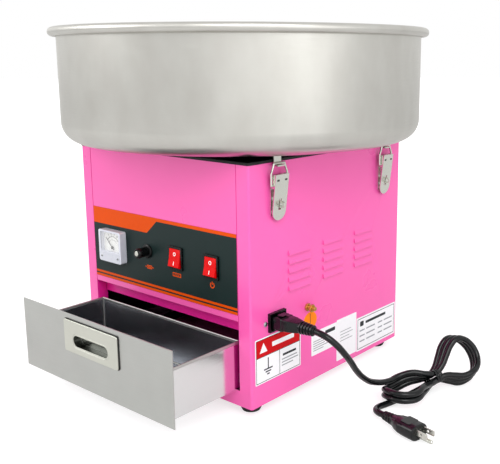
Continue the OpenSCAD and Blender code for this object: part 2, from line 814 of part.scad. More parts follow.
module cord_hank() color("black") in_hank() {
    along_z(0, 2 * layer - 0.2) front_lobe(-front_r, split_v);
    along_z(layer + 0.3, hank_h - layer - 0.3) front_lobe(split_v, front_r);
    translate([-front_r, -waist_l - block_l, 0]) cube([2 * front_r, block_l, hank_h]);
    at_waist(-waist_l - 0.1, 2 * waist_l + 0.2) square([waist_w, hank_h], center = true);
    translate([lobe_at[0], 0, lobe_at[1]]) rotate([0, lobe_tilt, 0]) along_z(-cord_r, hank_h) difference() {
        union() {
            translate([-rear_r, waist_l]) square([2 * rear_r, run_back - waist_l]);
            translate([0, run_back]) circle(rear_r);
        }
        translate([0, run_back]) circle(lobe_hole_r);
    }
}

module cord_tie() color("black") in_hank() at_waist(-tie_l / 2, tie_l) difference() {
    square([waist_w + 2 * tie_t, hank_h + 2 * tie_t], center = true);
    square([waist_w, hank_h], center = true);
}

module plug_body() color("black") translate(plug_at) rotate(plug_turn) {
    along_x(0, 16) circle(6);
    hull() {
        along_x(14, 2) circle(7, $fn = 32);
        along_x(30, plug_end - 30) rounded_square(27, 19, 5, $fn = 32);
    }
    for (y = [-6.35, 6.35]) along_x(plug_end - 1, 18) translate([y, 3]) square([1.6, 6.4], center = true);
    along_x(plug_end - 1, 21) translate([0, -4.5]) circle(2.4);
}

base_pan();
right_side_panel();
left_side_panel();
front_panel();
rear_panel();
top_deck();
edge_trim();
bowl_gasket();
bowl();
bowl_keepers();
latch_bases();
latch_pins();
right_front_lever();
right_rear_lever();
left_front_lever();
left_rear_lever();
right_front_bail();
right_rear_bail();
left_front_bail();
left_rear_bail();
rubber_feet();
cabinet_screws();
drawer_guides();
drawer_front();
drawer_box();
drawer_pull();
drawer_runners();
panel_overlay();
meter_case();
meter_dial();
meter_window();
meter_needle();
fuse_holder();
fuse_nut();
fuse_cap();
fuse_link();
heat_switch();
power_switch();
heat_rocker();
power_rocker();
inlet_socket();
earth_stud();
earth_nuts();
motor_housing();
motor_mounts();
motor_bearings();
motor_rotor();
spindle();
slip_rings();
brush_block();
spinner_base();
spinner_band();
heater_ring();
spinner_cap();
cord_connector();
cord_lead();
cord_hank();
cord_tail();
cord_tie();
plug_body();
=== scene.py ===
# A countertop cotton candy machine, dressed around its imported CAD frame.
# Metres, in the frame's own axes: the front faces -Y and the side with the mains inlet +X.
import math

import bmesh
import bpy
from mathutils import Matrix, Vector


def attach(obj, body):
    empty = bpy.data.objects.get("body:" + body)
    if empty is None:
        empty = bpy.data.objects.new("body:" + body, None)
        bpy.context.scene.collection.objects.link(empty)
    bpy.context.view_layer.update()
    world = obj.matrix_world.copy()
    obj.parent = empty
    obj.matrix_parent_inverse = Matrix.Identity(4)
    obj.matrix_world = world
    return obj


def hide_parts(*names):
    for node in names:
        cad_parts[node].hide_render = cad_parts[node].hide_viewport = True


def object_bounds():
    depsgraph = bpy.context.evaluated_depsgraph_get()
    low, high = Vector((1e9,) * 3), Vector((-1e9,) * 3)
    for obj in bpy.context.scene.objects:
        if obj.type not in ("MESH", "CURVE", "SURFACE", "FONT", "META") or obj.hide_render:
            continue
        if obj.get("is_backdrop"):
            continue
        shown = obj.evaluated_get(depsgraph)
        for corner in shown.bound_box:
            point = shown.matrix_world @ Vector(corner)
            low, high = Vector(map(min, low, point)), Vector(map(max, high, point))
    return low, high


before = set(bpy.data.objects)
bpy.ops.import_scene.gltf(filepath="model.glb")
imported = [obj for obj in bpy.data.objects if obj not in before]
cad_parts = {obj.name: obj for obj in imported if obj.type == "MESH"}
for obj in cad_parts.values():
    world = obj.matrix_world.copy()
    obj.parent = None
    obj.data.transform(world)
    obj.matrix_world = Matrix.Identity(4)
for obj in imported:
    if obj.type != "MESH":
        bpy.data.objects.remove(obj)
cad_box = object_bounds()

# The view: a product shot from the right of the front, as high as the bowl's rim, through a
# short telephoto lens whose picture was cropped off its middle.
studio = bpy.context.scene
studio.view_settings.view_transform = "Standard"
lens = bpy.data.cameras.new("product_view")
lens.sensor_width = 36
lens.lens = 54.45
lens.shift_x = -0.122
lens.shift_y = -0.060
camera = bpy.data.objects.new("product_view", lens)
camera.location = (0.7584, -0.7870, 0.4406)
camera.rotation_euler = (math.radians(90 - 11.02), 0, math.radians(38.86))
studio.collection.objects.link(camera)
studio.camera = camera


# The mains cord: a round three-core lead in black PVC, extruded and glossy. It drops from the inlet to
# a tied hank of three turns, whose rear lobe stands on edge, and ends at its plug.
MM = 0.001
cord_r = 4
hank_x = 290
hank_y = 56
hank_turn = math.radians(-10)
lobe_tilt = math.radians(54)
run_front = 60
run_back = 44
front_fold = 24
rear_folds = (30, 27, 24)
waist = 4.3
layer = 8.2
tie_across = -7
tie_height = 10.8
low_run = cord_r + 0.4
lobe_across = 3
lobe_height = 31


def in_hank(along, across, height):
    """Turns a place in the hank's own frame to the floor's frame, and keeps the cord above the floor."""
    return (hank_x - along * math.sin(hank_turn) + across * math.cos(hank_turn),
            hank_y + along * math.cos(hank_turn) + across * math.sin(hank_turn), max(height, cord_r + 0.3))


def eased(part):
    """A share from 0 to 1 that starts and ends gently."""
    part = min(max(part, 0), 1)
    return 2 * part ** 2 if part < 0.5 else 1 - 2 * (1 - part) ** 2


def tilted(along, out, level, tilt, across, height):
    """A place on a lobe that is turned on edge: out from its middle line, on one of its layers."""
    return in_hank(along, across + out * math.cos(tilt) + layer * level * math.sin(tilt),
                   height - out * math.sin(tilt) + layer * level * math.cos(tilt))


def run_point(along, side, width, level):
    """A point on one run of the hank, which is gathered in the tie and spreads towards its folds."""
    if along > 0:
        reach = along / run_back
        tilt = lobe_tilt
        across = tie_across + (lobe_across - tie_across) * reach
        height = tie_height + (lobe_height - tie_height) * reach
    else:
        reach = -along / run_front
        tilt = lobe_tilt * (1 - eased(reach * 1.2))
        across = tie_across * (1 - reach)
        height = tie_height + (low_run - tie_height) * reach
    return tilted(along, side * (waist + (width - waist) * eased(reach)), level, tilt, across, height)


lead_route = [(224, -116, 116), (240, -115, 112.5), (251, -110, 104), (257, -100, 90), (256, -86, 75),
              (253, -70, 58), (250.5, -49, 40), (250, -29, 28)]
tail_route = [in_hank(-22, -4, 5), in_hank(-44, -3, 4.3), in_hank(-60, -3, 4.3), (273.6, -18.5, 4.3),
              (270.8, -31.5, 4.4), (269.4, -43.5, 5.4), (272.4, -54.6, 7.2), (281, -63, 9), (293, -66.3, 10)]
front_run = (-60, -45, -30, -15)
back_run = (11, 22, 33, 44)
fold = [math.radians(angle) for angle in (30, 60, 90, 120, 150)]
cord_route = list(lead_route)
for level in (2, 1, 0):
    rear_fold = rear_folds[level]
    cord_route += [run_point(along, -1, front_fold, level) for along in front_run + (0,)]
    cord_route += [run_point(along, -1, rear_fold, level) for along in back_run]
    cord_route += [tilted(run_back + rear_fold * math.sin(angle), -rear_fold * math.cos(angle), level,
                          lobe_tilt, lobe_across, lobe_height) for angle in fold]
    cord_route += [run_point(along, 1, rear_fold, level) for along in back_run[::-1] + (0,)]
    if level:
        cord_route += [run_point(along, 1, front_fold, level) for along in front_run[::-1]]
        drops = [layer * (level - eased(2 * angle / math.pi - 1)) for angle in fold]
        cord_route += [in_hank(-run_front - front_fold * math.sin(angle), front_fold * math.cos(angle),
                               low_run + drop) for angle, drop in zip(fold, drops)]
cord_route += tail_route

cord_curve = bpy.data.curves.new("mains_cord", "CURVE")
cord_curve.dimensions = "3D"
cord_curve.bevel_depth = cord_r * MM
cord_curve.bevel_resolution = 4
cord_curve.resolution_u = 6
cord_curve.use_fill_caps = True
strand = cord_curve.splines.new("BEZIER")
strand.bezier_points.add(len(cord_route) - 1)
for knot, point in zip(strand.bezier_points, cord_route):
    knot.co = Vector(point) * MM
    knot.handle_left_type = "AUTO"
    knot.handle_right_type = "AUTO"
mains_cord = bpy.data.objects.new("mains_cord", cord_curve)
studio.collection.objects.link(mains_cord)


def linear(colour):
    """Turns an sRGB hex colour to the linear RGBA that a shader takes."""
    parts = [int(colour[start:start + 2], 16) / 255 for start in (1, 3, 5)]
    return [part / 12.92 if part <= 0.04045 else ((part + 0.055) / 1.055) ** 2.4 for part in parts] + [1]


def add(owner, kind, values=(), **settings):
    """Adds one shader node. A capitalised setting is an input to set or link, values fill the inputs in
    order, and any other setting is a property of the node. A node given as a value links its first
    output."""
    made = owner.node_tree.nodes.new("ShaderNode" + kind)
    given = list(zip(made.inputs, values))
    for name, value in settings.items():
        if name[0].islower():
            setattr(made, name, value)
        else:
            given.append((made.inputs[name.replace("_", " ")], value))
    for socket, value in given:
        if isinstance(value, bpy.types.Node):
            value = value.outputs[0]
        if isinstance(value, bpy.types.NodeSocket):
            owner.node_tree.links.new(value, socket)
        else:
            socket.default_value = value
    return made


def new_finish(name):
    """Starts a material with an empty node tree."""
    finish = bpy.data.materials.new(name)
    finish.use_nodes = True
    finish.node_tree.nodes.clear()
    return finish


def mottled(name, dark, light, smooth, rough, patch, grain=0, relief=0.1, **more):
    """A material whose tone and roughness drift over patches, with a fine grain of bumps on it.
    The sizes of the patches, the grain and its relief are in millimetres."""
    finish = new_finish(name)
    place = add(finish, "TexCoord").outputs["Object"]
    drift = add(finish, "TexNoise", Vector=place, Scale=1 / (patch * MM), Detail=3)
    tone = add(finish, "MixRGB", Fac=drift, Color1=linear(dark), Color2=linear(light))
    shine = add(finish, "MapRange", values=(drift, 0.3, 0.7, smooth, rough))
    if grain:
        bumps = add(finish, "TexNoise", Vector=place, Scale=1 / (grain * MM), Detail=1)
        more["Normal"] = add(finish, "Bump", Strength=0.2, Distance=relief * MM, Height=bumps)
    surface = add(finish, "BsdfPrincipled", Base_Color=tone, Roughness=shine, **more)
    add(finish, "OutputMaterial", Surface=surface)
    return finish


# Extruded PVC: black with a gloss that swells and fades slowly along the lead.
black_pvc = mottled("extruded_black_pvc", "#07090A", "#101315", 0.14, 0.22, 14, 0.9, 0.1, IOR=1.53,
                    Specular_IOR_Level=0.33)
cord_curve.materials.append(black_pvc)
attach(mains_cord, "cabinet")
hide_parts("cord_lead", "cord_hank", "cord_tail")


# The moulded connector: a tapering black PVC body pushed into the inlet, with ribs that let the lead
# bend where it leaves, and a shallow grip panel on its top and bottom.
def rounded(width, height, corner, steps=6):
    """Points of a rectangle with round corners about the origin."""
    points = []
    for quarter, (x, y) in enumerate(((1, 1), (-1, 1), (-1, -1), (1, -1))):
        for step in range(steps + 1):
            angle = math.radians(90 * (quarter + step / steps))
            points.append((x * (width / 2 - corner) + corner * math.cos(angle),
                           y * (height / 2 - corner) + corner * math.sin(angle)))
    return points


def thicken(shape, faces, thickness):
    """Draws flat faces on XY out to a solid."""
    grown = bmesh.ops.extrude_face_region(shape, geom=faces)["geom"]
    bmesh.ops.translate(shape, vec=(0, 0, thickness * MM),
                        verts=[part for part in grown if isinstance(part, bmesh.types.BMVert)])
    return shape


def plate(points, thickness):
    """A flat plate with the given outline on XY, drawn out along +Z."""
    shape = bmesh.new()
    face = shape.faces.new([shape.verts.new((x * MM, y * MM, 0)) for x, y in points])
    return thicken(shape, [face], thickness)


def band(outer, inner, thickness):
    """A flat plate between two outlines with the same number of points."""
    shape = bmesh.new()
    loops = [[shape.verts.new((x * MM, y * MM, 0)) for x, y in points] for points in (outer, inner)]
    ends = [loop[1:] + loop[:1] for loop in loops]
    faces = [shape.faces.new(corners) for corners in zip(loops[0], ends[0], ends[1], loops[1])]
    return thicken(shape, faces, thickness)


def hoop(width, height, corner, border, thickness):
    """A frame with round corners: a rectangle with a border of even width."""
    inside = rounded(width - 2 * border, height - 2 * border, max(corner - border, 0.05))
    return band(rounded(width, height, corner), inside, thickness)


def draw_out(shape, *steps):
    """Draws the top face out, step by step: a distance, and what its width and height are multiplied by."""
    for distance, across, along in steps:
        top = max(shape.faces, key=lambda face: face.calc_center_median().z)
        grown = bmesh.ops.extrude_face_region(shape, geom=[top])["geom"]
        corners = [part for part in grown if isinstance(part, bmesh.types.BMVert)]
        bmesh.ops.translate(shape, vec=(0, 0, distance * MM), verts=corners)
        bmesh.ops.scale(shape, vec=(across, along, 1), verts=corners)
    return shape


def turned(section, steps=48):
    """Spins a half section of (radius, height) points about Z."""
    shape = bmesh.new()
    points = [shape.verts.new((radius * MM, 0, height * MM)) for radius, height in section]
    edges = [shape.edges.new(pair) for pair in zip(points, points[1:])]
    bmesh.ops.spin(shape, geom=points + edges, cent=(0, 0, 0), axis=(0, 0, 1), angle=math.tau,
                   steps=steps, use_merge=True)
    bmesh.ops.remove_doubles(shape, verts=shape.verts, dist=0.001 * MM)
    return shape


def put(shape, turn, x=0, y=0, z=0):
    """Turns a shape and moves it to its place in millimetres."""
    bmesh.ops.transform(shape, matrix=Matrix.Translation(Vector((x, y, z)) * MM) @ turn, verts=shape.verts)
    return shape


def joined(*shapes):
    """One bmesh that holds all the shapes."""
    whole = bmesh.new()
    for shape in shapes:
        loose = bpy.data.meshes.new("loose")
        shape.to_mesh(loose)
        shape.free()
        whole.from_mesh(loose)
        bpy.data.meshes.remove(loose)
    return whole


def fit(name, shape, finish, body, slot, *nodes, edge=0, turn_out=True, linings=(), lined=None):
    """Makes a shape a piece: its finish, its rounded edges, and the body and CAD nodes it belongs to.
    Other finishes can be given as linings, and lined(face) then says which of them a face takes, from 1."""
    if turn_out:
        bmesh.ops.recalc_face_normals(shape, faces=shape.faces)
    if linings:
        for face in shape.faces:
            face.material_index = lined(face)
    mesh = bpy.data.meshes.new(name)
    shape.to_mesh(mesh)
    shape.free()
    mesh.shade_smooth()
    mesh.set_sharp_from_angle(angle=math.radians(32))
    for coat in (finish, *linings):
        mesh.materials.append(coat)
    piece = bpy.data.objects.new(name, mesh)
    studio.collection.objects.link(piece)
    if edge:
        rounding = piece.modifiers.new("rounded_edges", "BEVEL")
        rounding.width = edge * MM
        rounding.segments = 2
        rounding.limit_method = "ANGLE"
        rounding.angle_limit = math.radians(40)
        rounding.harden_normals = True
    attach(piece, body)
    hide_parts(*nodes)
    return piece


def turn(angle, axis):
    """A turn in degrees about one axis."""
    return Matrix.Rotation(math.radians(angle), 4, axis)


upright = Matrix.Identity(4)
to_front = turn(90, "X")
to_right = Matrix(((0, 0, 1, 0), (1, 0, 0, 0), (0, 1, 0, 0), (0, 0, 0, 1)))
inlet_y = -116
inlet_z = 116
connector_body = draw_out(plate(rounded(24, 16.4, 2), 17), (4.2, 1, 1), (0, 28 / 24, 20 / 16.4), (13, 1, 1),
                          (1.2, 0.94, 0.93), (8, 0.95, 0.95), (11.5, 0.72, 0.88), (2.5, 0.9, 0.93))
relief_ribs = [(0, 198), (6.4, 198), (6.4, 202)]
for rib in range(5):
    low = 202.4 + rib * 4.2
    radius = 8.2 - 0.35 * rib
    relief_ribs += [(radius - 0.4, low), (radius, low + 0.5), (radius, low + 2.2), (radius - 0.4, low + 2.7),
                    (radius - 1.9, low + 2.8), (radius - 1.9, low + 4.1)]
relief_ribs += [(4.6, 224), (0, 224)]
grips = [put(plate(rounded(14, 9, 2), 0.5), to_right @ turn(side, "X"), 174, inlet_y, inlet_z + height)
         for side, height in ((-90, 9.8), (90, -9.8))]
connector_body = put(connector_body, to_right, 145, inlet_y, inlet_z)
relief_ribs = put(turned(relief_ribs, 36), to_right, 0, inlet_y, inlet_z)
connector = fit("mains_connector", joined(connector_body, relief_ribs, *grips), black_pvc, "cabinet",
                "cord_pvc", "cord_connector", edge=0.8)

# The plug: the same PVC moulded over two flat nickel-plated blades with holes and a round earth pin,
# with a stepped grip and a short ribbed relief.
plug_place = tail_route[-1]
along_plug = turn(-11, "Z") @ to_right
plug_body = draw_out(plate(rounded(13, 13, 5), 2), (7, 1.55, 1.2), (1, 1.06, 1.05), (7, 1.22, 1.07),
                     (8, 1.03, 1.08), (15.6, 1, 1), (1.4, 0.96, 0.94))
relief = [(0, -1), (4.7, -1)]
for rib in range(3):
    radius = 5.8 + 0.5 * rib
    low = rib * 4.6
    relief += [(radius - 0.2, low), (radius, low + 2.6), (radius - 1, low + 2.8), (radius - 1, low + 4.2)]
relief += [(6.6, 14), (6.6, 18), (0, 18)]
plug_grip = put(plate(rounded(17, 15, 2), 0.6), turn(-90, "X"), 0, 9.0, 40)
plug_body = joined(put(plug_body, upright, 0, 0, 14), turned(relief, 36), plug_grip)
plug = fit("mains_plug", put(plug_body, along_plug, *plug_place), black_pvc, "cabinet", "cord_pvc",
           "plug_body", edge=0.7)


def circle(radius, first=0, last=360, steps=28):
    """Points of a circle about the origin, or of an arc that ends at both its angles."""
    count = steps if last - first == 360 else steps + 1
    angles = [math.radians(first + (last - first) * step / steps) for step in range(count)]
    return [(radius * math.cos(angle), radius * math.sin(angle)) for angle in angles]


# Bright nickel plate: a warm grey mirror, a little clouded, as on stamped and plated steel.
nickel = mottled("bright_nickel_plate", "#D2D3CA", "#DEDFD6", 0.22, 0.3, 30, Metallic=1)
blades = [put(band(rounded(18, 6.4, 1.2), circle(1.6), 1.6), turn(-90, "Y"), side * 6.35 + 0.8, 3, 64)
          for side in (-1, 1)]
earth_pin = turned([(0, 54), (2.4, 54), (2.4, 73.5), (1.9, 75.2), (1, 76), (0, 76)], 24)
blades = joined(*blades, put(earth_pin, upright, 0, -4.5))
plug_blades = fit("plug_blades", put(blades, along_plug, *plug_place), nickel, "cabinet", "nickel", edge=0.2)

# The tie: three wraps of black plastic-covered wire around the middle of the hank.
tie_turn = Matrix.Rotation(hank_turn, 4, "Z") @ Matrix.Rotation(lobe_tilt, 4, "Y") @ to_front
tie_middle = (tie_across + layer * math.sin(lobe_tilt), tie_height + layer * math.cos(lobe_tilt))
wire = 3.2
wraps = [put(hoop(18.6, 26.4, 6, 1, wire), tie_turn, *in_hank(wrap + wire / 2, *tie_middle))
         for wrap in (-4.2, 0, 4.2)]
cord_tie = fit("hank_tie", joined(*wraps), black_pvc, "cabinet", "cord_pvc", "cord_tie", edge=0.3)


# The studio: a white surround, a large soft lamp on each side of the front and two broad cards on the
# right. The surround shows white to the eye and gives a little less light to the machine.
surround = bpy.data.worlds.new("white_surround")
surround.use_nodes = True
surround.node_tree.nodes.clear()
studio.world = surround
seen = add(surround, "LightPath")
surround_light = 0.88
direct = add(surround, "Math", operation="MAXIMUM",
             values=(seen.outputs["Is Camera Ray"], seen.outputs["Is Transmission Ray"]))
level = add(surround, "Math", operation="MAXIMUM", values=(surround_light, direct))
glow = add(surround, "Background", Color=linear("#FFFFFF"), Strength=level)
add(surround, "OutputWorld", Surface=glow)

# Matt white vinyl: it takes the machine's soft shadow, and far away it is as white as the surround.
floor_vinyl = new_finish("matt_white_vinyl")
seen = add(floor_vinyl, "LightPath")
place = add(floor_vinyl, "TexCoord").outputs["Object"]
away = add(floor_vinyl, "VectorMath", operation="LENGTH", values=(place,)).outputs["Value"]
lift = add(floor_vinyl, "MapRange", values=(away, 0.5, 2.2, 0.7, 1.0))
lift = add(floor_vinyl, "Math", operation="MULTIPLY", values=(lift, seen.outputs["Is Camera Ray"]))
mirrored = add(floor_vinyl, "Math", operation="MULTIPLY", values=(seen.outputs["Is Glossy Ray"], 0.3))
lift = add(floor_vinyl, "Math", operation="ADD", values=(lift, mirrored))
direct = add(floor_vinyl, "Math", operation="MAXIMUM",
             values=(seen.outputs["Is Camera Ray"], seen.outputs["Is Glossy Ray"]))
tone = add(floor_vinyl, "MixRGB", Fac=direct, Color1=linear("#EFEFEF"), Color2=linear("#B4B4B4"))
surface = add(floor_vinyl, "BsdfPrincipled", Base_Color=tone, Roughness=0.9, Specular_IOR_Level=0.1,
              Emission_Color=linear("#FFFFFF"), Emission_Strength=lift)
add(floor_vinyl, "OutputMaterial", Surface=surface)
shape = bmesh.new()
bmesh.ops.create_circle(shape, cap_ends=True, radius=14, segments=96)
floor_mesh = bpy.data.meshes.new("floor")
shape.to_mesh(floor_mesh)
shape.free()
floor_mesh.materials.append(floor_vinyl)
floor = bpy.data.objects.new("floor", floor_mesh)
studio.collection.objects.link(floor)
floor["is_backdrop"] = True

machine_middle = Vector((0, 0, 0.25))
for name, spot, size, power in (("soft_lamp_right", (1.5, -1.3, 2.1), 1.6, 24),
                                ("soft_lamp_left", (-1.6, -1.9, 1.5), 1.8, 24),
                                ("near_card", (2.1, -0.3, 0.8), 1.7, 3.8),
                                ("wide_card", (2.0, -1.15, 0.9), 3.4, 11)):
    lamp = bpy.data.lights.new(name, "AREA")
    lamp.shape = "DISK"
    lamp.size = size
    lamp.energy = power
    hung = bpy.data.objects.new(name, lamp)
    hung.location = spot
    hung.rotation_euler = (machine_middle - Vector(spot)).to_track_quat("-Z", "Y").to_euler()
    studio.collection.objects.link(hung)


# The cabinet's sheets: folded and spot-welded steel with pressed louvres, in a glossy pink powder coat.
# The side panels turn round the corners, and the control panel stands between them.
def merged(node):
    """A copy of a CAD node's shape with its loose triangles joined and its flat faces made whole."""
    shape = bmesh.new()
    shape.from_mesh(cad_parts[node].data)
    bmesh.ops.remove_doubles(shape, verts=shape.verts, dist=0.002 * MM)
    bmesh.ops.dissolve_limit(shape, angle_limit=math.radians(0.5), verts=shape.verts, edges=shape.edges)
    return shape


def copied(name, node, finish, body, slot, edge=0, **inside):
    """A piece with the shape of its CAD node."""
    return fit(name, merged(node), finish, body, slot, node, edge=edge, turn_out=False, **inside)


jamb_x = 142.7
jamb_t = 2
lip_y = -161
lip_z = 122.5


def sheet_coat_or_shade(face):
    """Which coat a face of a sheet has: 1 for near black that paints the shade where it looks into the
    cabinet,
    2 for a deeper magenta that paints the shade on the returns around the drawer's opening, and 0 elsewhere."""
    middle = face.calc_center_median() / MM
    on_jamb = abs(abs(middle.x) - jamb_x) < jamb_t
    on_lip = lip_y < middle.y < -100 and middle.z < lip_z and face.normal.y < -0.5
    if on_jamb or on_lip:
        return 2
    return int(face.normal.x * middle.x + face.normal.y * middle.y < -50)


# Powder coat: a thick even gloss with the faint ripple that the melted powder leaves.
# Painted shade: near black inside the cabinet, and a deeper magenta on the returns around the drawer's
# opening.
pink_coat = mottled("glossy_pink_powder_coat", "#F05AAA", "#F461AF", 0.26, 0.36, 70, 6, 0.05, IOR=1.5,
                    Coat_Weight=0.2, Coat_Roughness=0.12)
shaded_pink_coat = mottled("painted_shade_pink_coat", "#EE1F9A", "#F226A0", 0.3, 0.4, 40, IOR=1.5)
inside_shade_black = mottled("painted_shade_inside_black", "#050505", "#0B0B0C", 0.6, 0.75, 20, 1.5, Specular_IOR_Level=0.2)
for sheet, node in (("base_pan_sheet", "base_pan"), ("right_side_sheet", "right_side_panel"),
                    ("left_side_sheet", "left_side_panel"), ("control_panel_sheet", "front_panel"),
                    ("rear_sheet", "rear_panel")):
    copied(sheet, node, pink_coat, "cabinet", "pink_paint", 0.4, linings=(inside_shade_black, shaded_pink_coat),
           lined=sheet_coat_or_shade)

# The top deck and its edging: a black painted plate that carries the motor, and a push-on rubber
# strip that covers the sheets' top edge. The gasket between deck and bowl is the same rubber.
rubber = mottled("matt_black_rubber", "#0A0A0B", "#161617", 0.5, 0.68, 9, 0.7, 0.15, IOR=1.52,
                 Specular_IOR_Level=0.35)
deck_paint = mottled("satin_black_stove_paint", "#0C0D0E", "#141517", 0.32, 0.45, 30, 3, IOR=1.5,
                     Specular_IOR_Level=0.35)
copied("deck_plate", "top_deck", deck_paint, "cabinet", "black_deck", 0.3)
copied("edge_strip", "edge_trim", rubber, "cabinet", "rubber", 0.5)
gasket = [(105, 302), (105, 324), (106, 325), (119, 325), (120, 324), (120, 310), (118, 306), (120, 302),
          (105, 302)]
fit("bowl_gasket_ring", turned(gasket, 96), rubber, "cabinet", "rubber", "bowl_gasket")

# The feet: moulded rubber bumpers, screwed up into the pan.
foot_at = 140
foot = [(5.5, 0.4), (10.4, 0), (11.4, 0.5), (13, 3.4), (13, 11), (12.4, 12), (2.6, 12), (2.6, 8), (5.5, 8),
        (5.5, 0.4)]
feet = [put(turned(foot, 40), upright, x * foot_at, y * foot_at) for x in (-1, 1) for y in (-1, 1)]
fit("foot_bumpers", joined(*feet), rubber, "cabinet", "rubber", "rubber_feet")


# The bowl: a disc of stainless steel spun over a former, with a flat floor, a round corner and a rim
# rolled outwards over a wire. Turning leaves fine rings all the way round.
bowl_r = 249.5
bowl_z = 325
bowl_t = 1.2
corner_r = 28
rim_at = 254.2
rim_z = 470
rim_r = 5.8


def arc(radius, middle_r, middle_z, first, last, steps):
    """Points of an arc in a half section, from one angle in degrees to another."""
    return [(middle_r + x, middle_z + y) for x, y in circle(radius, first, last, steps)]


bowl_section = [(30, bowl_z)]
bowl_section += arc(corner_r, bowl_r - corner_r, bowl_z + corner_r, -90, 0, 12)
bowl_section += [(bowl_r, 400), (bowl_r, 440)]
bowl_section += arc(rim_r, rim_at, rim_z, -144, 180, 26)
bowl_section += [(bowl_r - bowl_t, 440), (bowl_r - bowl_t, 400)]
bowl_section += arc(corner_r - bowl_t, bowl_r - corner_r, bowl_z + corner_r, 0, -90, 12)
bowl_section += [(33, bowl_z + bowl_t), (31.2, bowl_z + 3), (31.2, 345), (30, 345), (30, bowl_z)]

# Spun stainless steel: satin rings from the spinning tool, which smear reflections across them, and broad
# lighter and darker bands of tone that stand up the wall.
spun_steel = new_finish("spun_stainless_steel")
place = add(spun_steel, "TexCoord").outputs["Object"]
axes = add(spun_steel, "SeparateXYZ", Vector=place)
flat = add(spun_steel, "CombineXYZ", X=axes.outputs["X"], Y=axes.outputs["Y"])
away = add(spun_steel, "VectorMath", operation="LENGTH", values=(flat,)).outputs["Value"]
angle = add(spun_steel, "Math", operation="ARCTAN2", values=(axes.outputs["Y"], axes.outputs["X"]))
round_it = add(spun_steel, "Math", operation="MULTIPLY", values=(angle, 0.012))
track = add(spun_steel, "CombineXYZ", X=round_it, Y=away, Z=axes.outputs["Z"])
rings = add(spun_steel, "TexNoise", Vector=track, Scale=1 / (1.3 * MM), Detail=3, Roughness=0.65)
low_z = add(spun_steel, "Math", operation="MULTIPLY", values=(axes.outputs["Z"], 2))
stands = add(spun_steel, "CombineXYZ", X=angle, Z=low_z)
shades = add(spun_steel, "TexNoise", Vector=stands, Scale=7, Detail=3)
smudge = add(spun_steel, "TexNoise", Vector=place, Scale=1 / (40 * MM), Detail=4)
shine = add(spun_steel, "MapRange", values=(rings, 0.3, 0.7, 0.29, 0.4))
cuts = add(spun_steel, "Bump", Strength=0.1, Distance=0.1 * MM, Height=rings)
shades = add(spun_steel, "MapRange", values=(shades, 0.3, 0.7, 0, 1))
smudge = add(spun_steel, "MapRange", values=(smudge, 0.35, 0.8, 0, 0.25))
tone = add(spun_steel, "MixRGB", Fac=shades, Color1=linear("#CAC8C2"), Color2=linear("#D2D1CB"))
tone = add(spun_steel, "MixRGB", Fac=smudge, Color1=tone, Color2=linear("#BCBAB2"))
grain = add(spun_steel, "Tangent", direction_type="RADIAL", axis="Z")
surface = add(spun_steel, "BsdfPrincipled", Base_Color=tone, Metallic=1, Roughness=shine, Normal=cuts,
              Anisotropic=0.5, Tangent=grain)
add(spun_steel, "OutputMaterial", Surface=surface)
fit("spun_bowl", turned(bowl_section, 160), spun_steel, "cabinet", "stainless", "bowl")

# The spinning head: a stainless pan with a slotted band, a cap with the sugar opening, and a heater
# coil behind the band. It is clamped on the motor's spindle.
for part, node in (("head_pan", "spinner_base"), ("head_band", "spinner_band"), ("head_cap", "spinner_cap")):
    copied(part, node, spun_steel, "spinner", "stainless", 0.3)


# The latches: nickel-plated draw latches, four in all. A lever on a pin pulls a wire bail down over a
# keeper under the bowl, and a padlock eye on the base stands through the lever's slot. The lever's top
# is rolled round its pin between the ears of the base.
latch_y = 115
pivot_x = 168
pivot_z = 297
copied("latch_keepers", "bowl_keepers", nickel, "cabinet", "nickel", 0.3)
copied("latch_base_plates", "latch_bases", nickel, "cabinet", "nickel", 0.25)
copied("latch_rivets", "latch_pins", nickel, "cabinet", "nickel", 0.3)
lever_lean = 7.2
on_lever = turn(lever_lean, "Y") @ to_right
half_turn = turn(180, "Z")
notch_x = 173.1
notch_z = 294
notch_out = 7
# Two thin near-black plates on each lever paint the shade in its stop slots, which are not cut.
slot_shade_dark = mottled("latch_slot_painted_shade", "#161615", "#242322", 0.4, 0.55, 3, IOR=2.5, Metallic=0.6)
knuckle = [(1.6, -7.1), (4.1, -7.1), (4.4, -6.8), (4.4, 6.8), (4.1, 7.1), (1.6, 7.1), (1.6, -7.1)]
for corner, x, y in (("right_front", 1, -1), ("right_rear", 1, 1), ("left_front", -1, -1),
                     ("left_rear", -1, 1)):
    body = corner + "_lever_body"
    copied(corner + "_latch_lever", corner + "_lever", nickel, body, "nickel", 0.45)
    roll = put(turned(knuckle, 32), to_front, x * pivot_x, y * latch_y, pivot_z)
    fit(corner + "_latch_knuckle", roll, nickel, body, "nickel")
    slot_shades = [put(plate(rounded(4.4, 2.4, 0.6), 0.1), on_lever, 0, side * notch_out) for side in (-1, 1)]
    slot_shades = put(joined(*slot_shades), upright if x > 0 else half_turn, x * notch_x, y * latch_y, notch_z)
    fit(corner + "_latch_slot_shades", slot_shades, slot_shade_dark, body, "nickel")
    copied(corner + "_latch_bail", corner + "_bail", nickel, corner + "_bail_body", "nickel")


